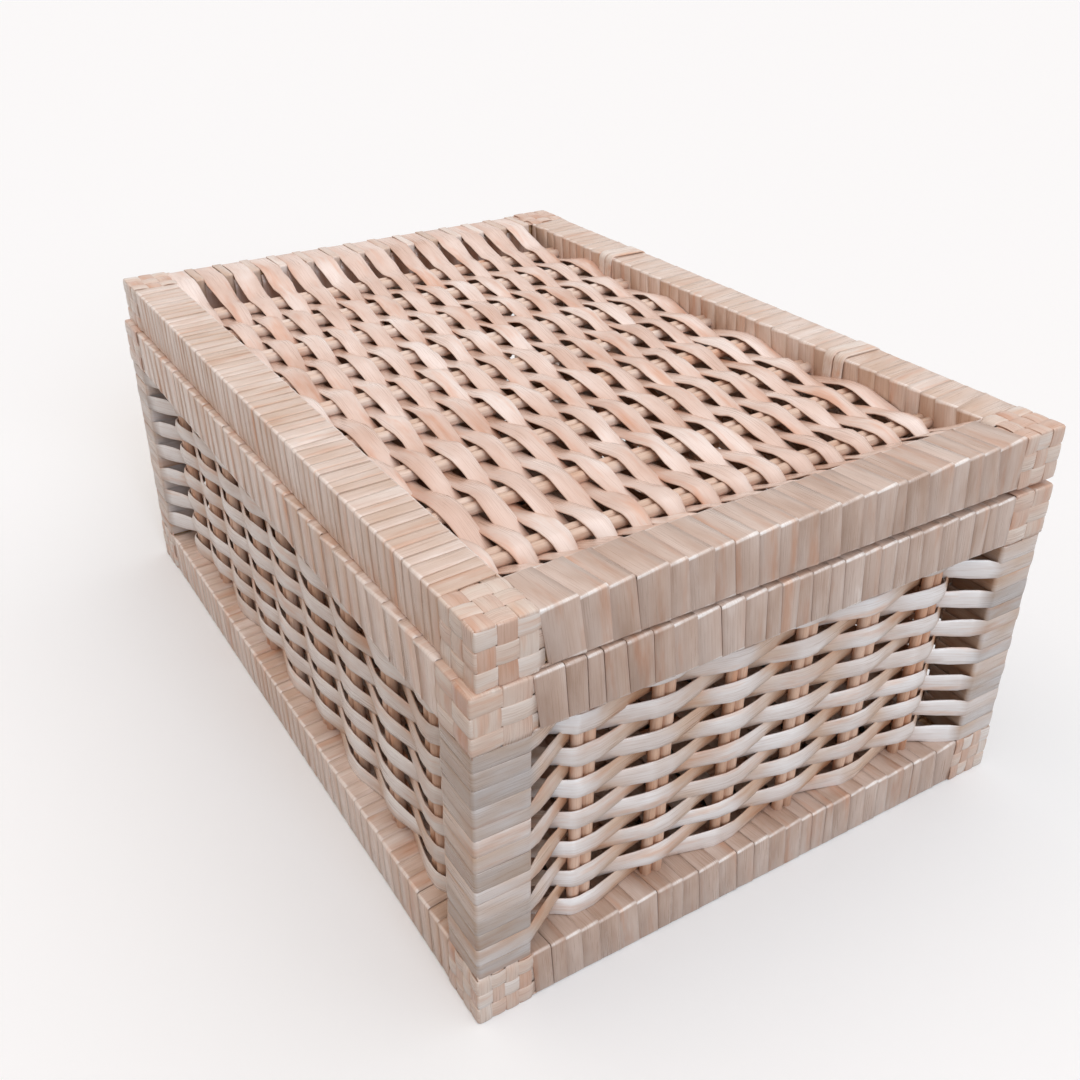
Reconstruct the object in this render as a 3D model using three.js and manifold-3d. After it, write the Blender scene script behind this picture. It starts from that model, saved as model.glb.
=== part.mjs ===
// A lidded box of split willow. Square battens make the frame of the body and of the lid.
// Flat skein is wound round every batten and plaited over every corner. Pairs of round
// sticks cross the frames, and flat weavers pass over one pair and behind the next.
// Sizes are in millimetres. X runs along the box, Y from front to back and Z up, and the
// origin lies under the middle of the box, on the surface it stands on.
import * as THREE from "three";
import { mergeVertices } from "three/addons/utils/BufferGeometryUtils.js";
import Module from "manifold-3d";

const wasm = await Module();
wasm.setup();

// Overall sizes
const BOX_LENGTH = 400;
const BOX_DEPTH = 276;
const BODY_HEIGHT = 151;
const FRONT_LEDGE = 3; // the lid stops this far behind the body's front
const SIDE_LEDGE = 1; // and this far inside each end

// Battens, with the skein wound round them
const BATTEN = 20;
const SKEIN = 1.2;
const CLEARANCE = 0.3;
const EDGE_CHAMFER = 1.5;
const DOWEL_RADIUS = 3;
const DOWEL_FACETS = 6;
const WRAP = SKEIN + CLEARANCE; // from a batten's face to the face of its winding
const RAIL = BATTEN + 2 * WRAP;

// Plaited corners
const PLAIT_CELLS = 3;
const PLAIT_PLY = 0.6;
const CELL_GAP = 0.8;

// Hinge bindings round the two back rails
const BINDING = 1;
const BINDING_WIDTH = 12;
const HINGE_PAIR = 2; // each binding lies in the space past this many pairs from its end
const BINDING_PROUD = CLEARANCE + BINDING;

// Sticks, which stand or lie in touching pairs
const STICK_RADIUS = 2.6;
const PAIR_SPACING = 36;
const END_SPACE = 27.5; // from a corner post to the middle of the first pair
const NOTCH_SHARE = 0.4; // depth of stick left between the two of a pair
const NEST_SHARE = 0.97; // how far apart their middles are, as a share of touching

// Weavers: one thickness, and a width for each kind of panel
const STRIP = 1.1;
const WALL_WEAVER = 6.2;
const LID_WEAVER = 6.8;
const FLOOR_WEAVER = 22;
const ROW_GAP = 1;
const ROW_MARGIN = BINDING_PROUD + CLEARANCE;
const END_SHIFT = 3; // the last bend lies past the middle of the last pair
const TUCK = 4; // a weaver that passes inside the front right post ends this far inside the wall
const HEAD_SHARE = 0.8; // how deep a weaver's head runs into the winding's thickness
const BITE = 0.2; // how far a weaver is pressed into a stick that holds it
const EDGE_SHARE = 0.45; // how far towards a rail's upper or lower face a weaver's end turns

// From the middle of a pair to the middle of a weaver that passes it, loose or held
const LOOSE = STICK_RADIUS + STRIP / 2 + CLEARANCE;
const HELD = STICK_RADIUS + STRIP / 2 - BITE;

// One overrun serves all cuts
const OVERRUN = 5;

const LID_LENGTH = BOX_LENGTH - 2 * SIDE_LEDGE;
const LID_DEPTH = BOX_DEPTH - FRONT_LEDGE;

// The lid's back rests on the two layers of binding, so the lid tips a little to the front
const LID_TILT = Math.asin((2 * BINDING_PROUD) / (LID_DEPTH - RAIL - BINDING_PROUD));

// start tells on which side of its first pair a side's lowest weaver passes. tucked names the
// end of a wall that lies at the front right post.
const SIDES = [
  { name: "back", turn: 0, long: true, start: -1 },
  { name: "left", turn: 1, long: false, start: 1 },
  { name: "front", turn: 2, long: true, start: 1, tucked: "head" },
  { name: "right", turn: 3, long: false, start: -1, tucked: "tail" },
];
const CORNERS = ["back_right", "back_left", "front_left", "front_right"];

const FINISHES = {
  timber: [0xc9a47c, 0.75],
  stick: [0xc49a70, 0.6],
  winding: [0xd9c4b2, 0.5],
  weaver: [0xd8ccc0, 0.5],
  plait: [0xd5bda8, 0.5],
  binding: [0xe2d6ca, 0.5],
};

// Solids

function solidOf(geometry) {
  const bare = geometry.clone();
  bare.deleteAttribute("normal");
  bare.deleteAttribute("uv");
  const merged = mergeVertices(bare);
  const vertProperties = new Float32Array(merged.getAttribute("position").array);
  const triVerts = new Uint32Array(merged.getIndex().array);
  return new wasm.Manifold(new wasm.Mesh({ numProp: 3, vertProperties, triVerts }));
}

function geometryOf(solid) {
  const mesh = solid.getMesh();
  const geometry = new THREE.BufferGeometry();
  geometry.setAttribute("position", new THREE.BufferAttribute(mesh.vertProperties, 3));
  geometry.setIndex(new THREE.BufferAttribute(mesh.triVerts, 1));
  return geometry;
}

function joined(geometry, additions) {
  return geometryOf(additions.reduce((sum, one) => sum.add(solidOf(one)), solidOf(geometry)));
}

function cut(geometry, cutters) {
  return geometryOf(cutters.reduce((rest, one) => rest.subtract(solidOf(one)), solidOf(geometry)));
}

// A block between two limits on each axis
function block(xs, ys, zs) {
  const sizes = [xs, ys, zs].map(([low, high]) => high - low);
  const middles = [xs, ys, zs].map(([low, high]) => (low + high) / 2);
  return new THREE.BoxGeometry(...sizes).translate(...middles);
}

// An outline in X and Y, or a shape, drawn out along Z
function prism(outline, low, high) {
  const shape = Array.isArray(outline)
    ? new THREE.Shape(outline.map(([x, y]) => new THREE.Vector2(x, y)))
    : outline;
  const options = { depth: high - low, bevelEnabled: false };
  return new THREE.ExtrudeGeometry(shape, options).translate(0, 0, low);
}

function piece(name, geometry, finish) {
  const [color, roughness] = FINISHES[finish];
  const flat = geometry.index ? geometry.toNonIndexed() : geometry;
  flat.computeVertexNormals();
  const mesh = new THREE.Mesh(flat, new THREE.MeshStandardMaterial({ color, roughness, metalness: 0 }));
  mesh.name = name;
  return mesh;
}

// Each side of a frame is made as the back one: its length along X, its outer face at
// y = face, and then turned about Z by quarter turns

function quarterTurn(turn) {
  return new THREE.Matrix4().makeRotationZ((turn * Math.PI) / 2);
}

function sideSizes(side, length, depth) {
  return side.long ? { span: length, face: depth / 2 } : { span: depth, face: length / 2 };
}

// Frame of battens, half-lapped at the corners and pinned by dowels or by the posts' tenons

// Its facets face the same way whichever quarter turn it is made in, so pins fit their holes
function dowel(x, y, low, high, spare, turn) {
  const radius = DOWEL_RADIUS + spare;
  const pin = new THREE.CylinderGeometry(radius, radius, high - low, DOWEL_FACETS);
  pin.rotateX(Math.PI / 2).rotateZ((-turn * Math.PI) / 2);
  return pin.translate(x, y, (low + high) / 2);
}

// A batten keeps its lower half at both ends on a long side, and its upper half on a short one
function batten(side, { span, face }, base) {
  const end = span / 2 - WRAP;
  const low = base + WRAP;
  const high = low + BATTEN;
  const middle = (low + high) / 2;
  const ys = [face - WRAP - BATTEN, face - WRAP];
  const lap = side.long
    ? [middle - CLEARANCE / 2, high + OVERRUN]
    : [low - OVERRUN, middle + CLEARANCE / 2];
  const cutters = [-1, 1].flatMap((way) => {
    const reach = [way * (end - BATTEN - CLEARANCE), way * (end + OVERRUN)].sort((a, b) => a - b);
    const place = [way * (end - BATTEN / 2), ys[1] - BATTEN / 2];
    const hole = dowel(...place, low - OVERRUN, high + OVERRUN, CLEARANCE, side.turn);
    return [block(reach, [ys[0] - OVERRUN, ys[1] + OVERRUN], lap), hole];
  });
  return cut(block([-end, end], ys, [low, high]), cutters);
}

// Skein wound round a batten: a square tube with its edges taken off

function tube(halfWidth, wall, low, high) {
  const inner = halfWidth - wall;
  const trim = halfWidth - EDGE_CHAMFER;
  const shape = new THREE.Shape();
  for (let quarter = 0; quarter < 4; quarter += 1) {
    const corner = [
      [trim, halfWidth],
      [halfWidth, trim],
    ].map(([x, y]) => new THREE.Vector2(x, y).rotateAround(new THREE.Vector2(), (-quarter * Math.PI) / 2));
    corner.forEach(({ x, y }, i) => (quarter + i ? shape.lineTo(x, y) : shape.moveTo(x, y)));
  }
  const hollow = [
    [-inner, -inner],
    [inner, -inner],
    [inner, inner],
    [-inner, inner],
  ];
  shape.holes.push(new THREE.Path(hollow.map(([x, y]) => new THREE.Vector2(x, y))));
  return prism(shape, low, high);
}

function winding({ span, face }, base) {
  const end = span / 2 - RAIL - CLEARANCE;
  const sleeve = tube(RAIL / 2, SKEIN, -end, end).rotateY(Math.PI / 2);
  return sleeve.translate(0, face - RAIL / 2, base + RAIL / 2);
}

// Sticks: one end is bound in by the winding that carries them, the other stands on the
// winding across from it

function pairPlaces(span) {
  const reach = span / 2 - RAIL - END_SPACE;
  const steps = Math.max(1, Math.round((2 * reach) / PAIR_SPACING));
  return Array.from({ length: steps + 1 }, (unused, i) => reach * ((2 * i) / steps - 1));
}

// Two round sticks side by side, seen from their ends
function pairOutline(x, y) {
  const nest = NEST_SHARE * STICK_RADIUS;
  const wide = nest + STICK_RADIUS * Math.cos(Math.PI / 6);
  const flank = STICK_RADIUS * Math.sin(Math.PI / 6);
  const half = [
    [0, -NOTCH_SHARE * STICK_RADIUS],
    [nest, -STICK_RADIUS],
    [wide, -flank],
    [wide, flank],
    [nest, STICK_RADIUS],
  ];
  const outline = [...half, ...half.map(([u, w]) => [-u, -w])];
  return outline.map(([u, w]) => [x + u, y + w]);
}

function stickPairs(span, middle, low, high) {
  return pairPlaces(span).map((x) => prism(pairOutline(x, middle), low, high));
}

// Weavers: each is a zigzag ribbon, which passes one pair on its outer side and the next inside

function ribbon(path, low, high) {
  const over = path.map(([x, y]) => [x, y + STRIP / 2]);
  const under = path.map(([x, y]) => [x, y - STRIP / 2]);
  return prism([...under, ...over.reverse()], low, high);
}

// One bend at each pair, which brings the weaver to its seat on both sticks. The first and the
// last bend lie past their pairs, and the first pair can have a seat of its own.
function bends({ span, middle, way, seat, firstSeat }) {
  const places = pairPlaces(span);
  const last = places.length - 1;
  const spacing = (places[last] - places[0]) / last;
  const reach = seat / (1 - (2 * STICK_RADIUS) / spacing);
  const share = (END_SHIFT + STICK_RADIUS) / (spacing + END_SHIFT);
  const endReach = (endSeat) => (endSeat + reach * share) / (1 - share);
  return places.map((x, i) => {
    const out = i % 2 ? -way : way;
    if (i === 0) return [x - END_SHIFT, middle + out * endReach(firstSeat)];
    if (i === last) return [x + END_SHIFT, middle + out * endReach(seat)];
    return [x, middle + out * reach];
  });
}

// The line of a weaver between two ends. Each end is a place along the panel and a seat across
// it, which depends on whether the weaver passes the nearest pair on its outer side.
function weaverPath({ head, tail, ...weave }) {
  const path = bends(weave);
  const [first, last] = [path[0], path[path.length - 1]].map(([, y]) => y > weave.middle);
  return [[head.x, head.seat(first)], ...path, [tail.x, tail.seat(last)]];
}

// Ribbons side by side from low to high, each of them on the other side of its neighbours' pairs
function rowsOf(width, low, high, start, pathOf) {
  const room = high - low - 2 * ROW_MARGIN;
  const rows = Math.max(1, Math.floor(room / (width + ROW_GAP)));
  return Array.from({ length: rows }, (unused, row) => {
    const middle = low + ROW_MARGIN + (room * (row + 1 / 2)) / rows;
    return ribbon(pathOf(row % 2 ? -start : start, row), middle - width / 2, middle + width / 2);
  });
}

// Plaited corner: a hollow cap over the lap of two rails, with every other cell raised.
// The outer corner lies at x = 0 and y = 0, and the rails run off towards -X and -Y.

function plaitCells(base, onTop) {
  const size = RAIL / PLAIT_CELLS;
  const inward = (i) => [-size * (i + 1) + CELL_GAP / 2, -size * i - CELL_GAP / 2];
  const upward = (j) => [base + size * j + CELL_GAP / 2, base + size * (j + 1) - CELL_GAP / 2];
  const skin = [-SKEIN / 2, PLAIT_PLY];
  const lift = [base + RAIL - SKEIN / 2, base + RAIL + PLAIT_PLY];
  const cells = [];
  for (let i = 0; i < PLAIT_CELLS; i += 1) {
    for (let j = (i + 1) % 2; j < PLAIT_CELLS; j += 2) {
      cells.push(block(inward(i), skin, upward(j)), block(skin, inward(i), upward(j)));
      if (onTop) cells.push(block(inward(i), inward(j), lift));
    }
  }
  return cells;
}

// open tells where a post enters the cap: from above, from below or not at all
function plait(base, open) {
  const outline = [
    [-EDGE_CHAMFER, 0],
    [-RAIL, 0],
    [-RAIL, -RAIL],
    [0, -RAIL],
    [0, -EDGE_CHAMFER],
  ];
  const across = [SKEIN - RAIL, -SKEIN];
  const along = [-RAIL - OVERRUN, -SKEIN];
  const inside = [base + SKEIN, base + RAIL - SKEIN];
  const hollow = [block(along, across, inside), block(across, along, inside)];
  if (open === "above") hollow.push(block(across, across, [base + RAIL / 2, base + RAIL + OVERRUN]));
  if (open === "below") hollow.push(block(across, across, [base - OVERRUN, base + RAIL / 2]));
  const cap = cut(prism(outline, base, base + RAIL), hollow);
  return joined(cap, plaitCells(base, open === "nowhere"));
}

// Body

function atCorner(i, length, depth) {
  const group = new THREE.Group();
  group.position.x = (i === 1 || i === 2 ? -length : length) / 2;
  group.position.y = (i === 2 || i === 3 ? -depth : depth) / 2;
  group.rotation.z = (i * Math.PI) / 2;
  return group;
}

// A post stands between the laps of the rails, with a tenon through each lap
function post(i) {
  const place = [-RAIL / 2, -RAIL / 2];
  const square = [-WRAP - BATTEN, -WRAP];
  const foot = RAIL - WRAP + CLEARANCE;
  const head = BODY_HEIGHT - foot;
  const tenons = [
    dowel(...place, WRAP + CLEARANCE, foot + OVERRUN, 0, i),
    dowel(...place, head - OVERRUN, BODY_HEIGHT - WRAP - CLEARANCE, 0, i),
  ];
  return joined(block(square, square, [foot, head]), tenons);
}

function bodyCorner(name, i) {
  const corner = atCorner(i, BOX_LENGTH, BOX_DEPTH);
  corner.add(
    piece(name + "_post", post(i), "timber"),
    piece(name + "_bottom_plait", plait(0, "above"), "plait"),
    piece(name + "_top_plait", plait(BODY_HEIGHT - RAIL, "below"), "plait"),
  );
  return corner;
}

// The weavers of a wall start from one of its posts, where they lie edge to edge round it.
// They reach the outer faces of their posts, but at the front right one every other weaver
// passes inside.
function wallWeavers(side, { span, face }) {
  const half = span / 2 - RAIL;
  const middle = face - RAIL / 2;
  const outer = face - SKEIN / 2;
  const seatAt = (end) => (over) => (over && side.tucked === end ? middle - TUCK : outer);
  const head = { x: -half - HEAD_SHARE * SKEIN, seat: seatAt("head") };
  const tail = { x: half - CLEARANCE, seat: seatAt("tail") };
  const pathOf = (way) => weaverPath({ head, tail, span, middle, way, seat: LOOSE, firstSeat: LOOSE });
  const sleeve = tube(RAIL / 2, SKEIN, RAIL + CLEARANCE, BODY_HEIGHT - RAIL - CLEARANCE);
  sleeve.translate((RAIL - span) / 2, middle, 0);
  return joined(sleeve, rowsOf(WALL_WEAVER, RAIL, BODY_HEIGHT - RAIL, side.start, pathOf));
}

function bodySide(side) {
  const sizes = sideSizes(side, BOX_LENGTH, BOX_DEPTH);
  const top = BODY_HEIGHT - RAIL;
  const stakes = stickPairs(sizes.span, sizes.face - RAIL / 2, RAIL + CLEARANCE, top + SKEIN / 2);
  const group = new THREE.Group();
  group.rotation.z = (side.turn * Math.PI) / 2;
  group.add(
    piece(side.name + "_bottom_rail", batten(side, sizes, 0), "timber"),
    piece(side.name + "_top_rail", batten(side, sizes, top), "timber"),
    piece(side.name + "_bottom_winding", winding(sizes, 0), "winding"),
    piece(side.name + "_top_winding_and_stakes", joined(winding(sizes, top), stakes), "stick"),
    piece(side.name + "_weavers", wallWeavers(side, sizes), "weaver"),
  );
  return group;
}

// A flat panel is made as a wall that is then laid down, with its outer face at y = face. Its
// sticks and weavers are one solid: the first pair holds every weaver, and the first weaver
// holds every pair.
function flatPanel({ length, depth, tip, face, width, headSeat, tailSeat }) {
  const middle = face - RAIL / 2;
  const end = depth / 2 - RAIL - CLEARANCE;
  const half = length / 2 - RAIL - CLEARANCE;
  const head = { x: -half, seat: headSeat };
  const tail = { x: half, seat: tailSeat };
  const pathOf = (way, row) => {
    const seat = row === 0 ? HELD : LOOSE;
    return weaverPath({ head, tail, span: length, middle, way, seat, firstSeat: HELD });
  };
  const rows = rowsOf(width, RAIL - depth / 2, depth / 2 - RAIL, 1, pathOf);
  const [stick, ...others] = stickPairs(length, middle, -end, end);
  return joined(stick, [...rows, ...others]).applyMatrix4(new THREE.Matrix4().makeRotationX(tip));
}

// The floor's weavers all turn down at their ends
function floorWeave() {
  const low = () => (-RAIL * (1 - EDGE_SHARE)) / 2;
  return flatPanel({
    length: BOX_LENGTH,
    depth: BOX_DEPTH,
    tip: -Math.PI / 2,
    face: 0,
    width: FLOOR_WEAVER,
    headSeat: low,
    tailSeat: low,
  });
}

// The bindings leave the sticks of the lid clear
function hingePlace() {
  const places = pairPlaces(LID_LENGTH);
  const i = Math.min(HINGE_PAIR, places.length - 1);
  return -(places[i - 1] + places[i]) / 2;
}

// The two layers of binding lie on each other in the gap behind the lid
function bindings(part, face, base) {
  return [["left", -1], ["right", 1]].map(([hand, way]) => {
    const ring = tube(RAIL / 2 + BINDING_PROUD, BINDING, -BINDING_WIDTH / 2, BINDING_WIDTH / 2);
    ring.rotateY(Math.PI / 2).translate(way * hingePlace(), face - RAIL / 2, base + RAIL / 2);
    return piece(part + "_" + hand + "_hinge_binding", ring, "binding");
  });
}

function body() {
  const group = new THREE.Group();
  group.add(...SIDES.map(bodySide), ...CORNERS.map(bodyCorner));
  group.add(piece("floor_weave", floorWeave(), "weaver"));
  group.add(...bindings("body", BOX_DEPTH / 2, BODY_HEIGHT - RAIL));
  return group;
}

// Lid

// At the left rail the lid's weavers run on over it or under it as they pass the first pair.
// At the right rail they change sides once more.
function lidWeave() {
  const edge = (up) => (RAIL * (1 + (up ? EDGE_SHARE : -EDGE_SHARE))) / 2;
  return flatPanel({
    length: LID_LENGTH,
    depth: LID_DEPTH,
    tip: Math.PI / 2,
    face: RAIL,
    width: LID_WEAVER,
    headSeat: (over) => edge(over),
    tailSeat: (over) => edge(!over),
  });
}

function lidSide(side) {
  const sizes = sideSizes(side, LID_LENGTH, LID_DEPTH);
  const group = new THREE.Group();
  group.rotation.z = (side.turn * Math.PI) / 2;
  group.add(
    piece("lid_" + side.name + "_rail", batten(side, sizes, 0), "timber"),
    piece("lid_" + side.name + "_winding", winding(sizes, 0), "winding"),
  );
  return group;
}

function lidCorner(name, i) {
  const corner = atCorner(i, LID_LENGTH, LID_DEPTH);
  const pin = dowel(-RAIL / 2, -RAIL / 2, WRAP + CLEARANCE, RAIL - WRAP - CLEARANCE, 0, i);
  corner.add(
    piece("lid_" + name + "_dowel", pin, "timber"),
    piece("lid_" + name + "_plait", plait(0, "nowhere"), "plait"),
  );
  return corner;
}

// The lid is built flat with its back edge over the body's, and then tipped about its front edge
function lid() {
  const frame = new THREE.Group();
  frame.add(...SIDES.map(lidSide), ...CORNERS.map(lidCorner));
  frame.add(piece("lid_weave", lidWeave(), "weaver"));
  frame.add(...bindings("lid", LID_DEPTH / 2, 0));
  frame.position.y = LID_DEPTH / 2;
  const tipped = new THREE.Group();
  tipped.position.set(0, FRONT_LEDGE - BOX_DEPTH / 2, BODY_HEIGHT + CLEARANCE);
  tipped.rotation.x = LID_TILT;
  tipped.add(frame);
  return tipped;
}

const box = new THREE.Group();
box.add(body(), lid());
box.position.y = (PLAIT_PLY - BINDING_PROUD) / 2;

export default box;
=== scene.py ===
"""A lidded basket of split willow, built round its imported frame.

Shapes are worked out in millimetres, in the frame of the panel or rail that they belong to,
and go into Blender in metres. X runs along the basket, Y from front to back and Z up. A name
that ends in RANGE or RATES holds the least and the most that a random number may be.
"""

import math
import zlib

import bpy
import numpy as np
from mathutils import Matrix, Vector


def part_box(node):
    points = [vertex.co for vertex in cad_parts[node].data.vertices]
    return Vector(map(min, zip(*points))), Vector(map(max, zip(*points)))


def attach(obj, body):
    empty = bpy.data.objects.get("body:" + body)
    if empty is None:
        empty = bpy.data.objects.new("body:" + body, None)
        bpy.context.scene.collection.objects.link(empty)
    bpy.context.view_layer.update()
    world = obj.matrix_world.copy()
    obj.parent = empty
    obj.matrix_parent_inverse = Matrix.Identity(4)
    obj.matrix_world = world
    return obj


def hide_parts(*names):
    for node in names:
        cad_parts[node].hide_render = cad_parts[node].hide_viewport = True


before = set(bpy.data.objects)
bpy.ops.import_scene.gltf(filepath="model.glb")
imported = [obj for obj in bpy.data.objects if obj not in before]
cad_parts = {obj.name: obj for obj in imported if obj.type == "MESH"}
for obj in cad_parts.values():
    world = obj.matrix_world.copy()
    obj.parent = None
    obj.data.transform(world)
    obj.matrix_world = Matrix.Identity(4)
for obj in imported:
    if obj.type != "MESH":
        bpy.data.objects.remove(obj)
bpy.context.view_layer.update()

MM = 0.001


def corners(node):
    """The lowest and highest corners of a CAD node, in millimetres."""
    return [np.array(corner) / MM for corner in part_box(node)]


# Sizes taken from the frame
FRONT = corners("front_bottom_winding")[0][1]
BACK = corners("back_bottom_winding")[1][1]
RAIL = corners("back_bottom_winding")[1][2]
CORE = RAIL / 2
BODY_TOP = corners("back_top_winding_and_stakes")[1][2]
HALF_LENGTH = corners("right_bottom_winding")[1][0]
HALF_DEPTH = (BACK - FRONT) / 2
BODY_MIDDLE = np.array([0, (BACK + FRONT) / 2, 0])

FRONT_PIN = sum(corners("lid_front_right_dowel")) / 2
BACK_PIN = sum(corners("lid_back_right_dowel")) / 2
LID_RISE = BACK_PIN - FRONT_PIN
LID_TILT = math.atan2(LID_RISE[2], LID_RISE[1])
LID_HALF_DEPTH = (np.linalg.norm(LID_RISE) + RAIL) / 2
LID_HALF_LENGTH = FRONT_PIN[0] + CORE

# Pairs of sticks across the lid and the floor, and along each wall
STICK = 2.55  # the radius of a thick one
LONG_PAIRS = 9
SHORT_PAIRS = 6
END_SPACE = 27.5  # from a corner's inner face to the middle of the first pair

# Weavers
WALL_ROWS = 14
WALL_WEAVER = 8.0
FAR_SIDES_WIDER = 1.5  # the back and left walls have wider ones
PANEL_ROWS = 28
PANEL_PIECES = 4
PANEL_WEAVER = 9.1
ROW_MARGIN = 0.7
CREST = 1.3  # how much wider a weaver is where it passes a pair
BOW = 0.75  # how far a weaver's middle stands over its edges
WEAVER = 0.75  # its thickness
STICK_GAP = 0.2  # the least gap between a weaver and a pair
GAP_RANGE = (0, 0.5)  # and what it may add to that
BEND = 4.0  # a weaver runs level this far to either side of a pair's middle
BEND_RANGE = (-0.5, 0.8)
SWING = STICK + WEAVER / 2 + 0.4  # how far a weaver mostly swings from the middle of its wall
ROW_PITCH = (BODY_TOP - 2 * RAIL - 2 * ROW_MARGIN) / WALL_ROWS

SIDES = {"back": 0, "left": 1, "front": 2, "right": 3}
LONG_SIDES = ("back", "front")
CORNERS = ("back_right", "back_left", "front_left", "front_right")
CORNER_SIGNS = ((1, 1), (-1, 1), (-1, -1), (1, -1))  # of their X and Y


# Random numbers

# How often a drift swings to and fro in its unit of length
CALM_RATES = (0.4, 2)
PLAIN_RATES = (0.4, 2.2)
LIVELY_RATES = (1, 4)
RESTLESS_RATES = (1, 5)
DECIMETRE = 100


def luck(name):
    """Random numbers that are the same for a name on each run."""
    return np.random.RandomState(zlib.crc32(name.encode()) % (2**31))


def drift(random, rates=PLAIN_RATES, waves=4, least_wave=0.4):
    """A smooth random function of a length in its own unit, from about -1 to 1."""
    swings = random.uniform(*rates, waves)
    phases = random.uniform(0, 2 * math.pi, waves)
    sizes = random.uniform(least_wave, 1, waves)
    return lambda t: sum(
        s * np.sin(2 * math.pi * r * np.asarray(t) + p) for r, p, s in zip(swings, phases, sizes)
    ) / sizes.sum()


# Paths

LEAST_STEPS = 4
ROUNDING_REACH = 3  # a corner is rounded over this many softnesses to either side
STEP = 1.1  # between the points of a weaver's line, before it is thinned
SOFT = 1.7  # how softly a weaver bends
CRISP = 0.6  # and how softly where it lies on a post
WEAVER_THINNING = (0.12, 6.0)  # the turn, in radians, and the run at which a point is kept


def resample(points, step, closed=False):
    """Points evenly spaced along a line."""
    points = np.asarray(points, float)
    if closed:
        points = np.vstack([points, points[:1]])
    lengths = np.linalg.norm(np.diff(points, axis=0), axis=1)
    along = np.concatenate([[0], np.cumsum(lengths)])
    count = max(LEAST_STEPS, int(round(along[-1] / step)))
    places = np.linspace(0, along[-1], count + 1)
    if closed:
        places = places[:-1]
    return np.column_stack([np.interp(places, along, column) for column in points.T])


def smooth(points, step, softness, closed=False):
    """Points evenly spaced along a line, with its corners rounded over about that length."""
    even = resample(points, step, closed)
    reach = int(math.ceil(ROUNDING_REACH * softness / step))
    weights = np.exp(-0.5 * (np.arange(-reach, reach + 1) * step / softness) ** 2)
    weights /= weights.sum()
    if closed:
        padded = np.vstack([even[-reach:], even, even[:reach]])
    else:
        head = 2 * even[0] - even[reach:0:-1]
        tail = 2 * even[-1] - even[-2 : -reach - 2 : -1]
        padded = np.vstack([head, even, tail])
    return np.column_stack([np.convolve(column, weights, "valid") for column in padded.T])


def thin(points, turn, reach):
    """The indices of fewer points: one wherever the line has turned that much or run that far."""
    steps = np.diff(points, axis=0)
    lengths = np.linalg.norm(steps, axis=1)
    headings = steps / lengths[:, None]
    kept, heading, run = [0], headings[0], 0.0
    for i in range(1, len(points) - 1):
        run += lengths[i - 1]
        if run >= reach or np.dot(heading, headings[i]) < math.cos(turn):
            kept.append(i)
            heading, run = headings[i], 0.0
    kept.append(len(points) - 1)
    return kept


def unit(vectors):
    return vectors / np.linalg.norm(vectors, axis=1)[:, None]


# Strands

# The outline of a flat strand, in shares of half its width and of its thickness
TOP = 0.5
SHOULDER_RISE = 0.32
FLANK = 0.45
UNDER_EDGE = 0.92

GRAIN_START_RANGE = (0, 400)
GRAIN_SEED_RANGE = (0, 900)


def section(shoulder):
    """The outline of a flat strand. The shoulder is the share of it that an upper edge rounds off."""
    over = [(-1, 0), (shoulder / 3 - 1, SHOULDER_RISE), (shoulder - 1, TOP), (-FLANK, TOP), (0, TOP)]
    over += [(-s, h) for s, h in reversed(over[:-1])]
    under = [(s, -TOP) for s in (UNDER_EDGE, FLANK, 0, -FLANK, -UNDER_EDGE)]
    return np.array(over + under)


FLAT = section(shoulder=0.08)
TIGHT = section(shoulder=0.03)
ANGLES = np.linspace(0, 2 * math.pi, 12, endpoint=False)
ROUND = np.column_stack([np.cos(ANGLES), np.sin(ANGLES) / 2])


def put_in_scene(name, data):
    made = bpy.data.objects.new(name, data)
    bpy.context.scene.collection.objects.link(made)
    return made


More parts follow.
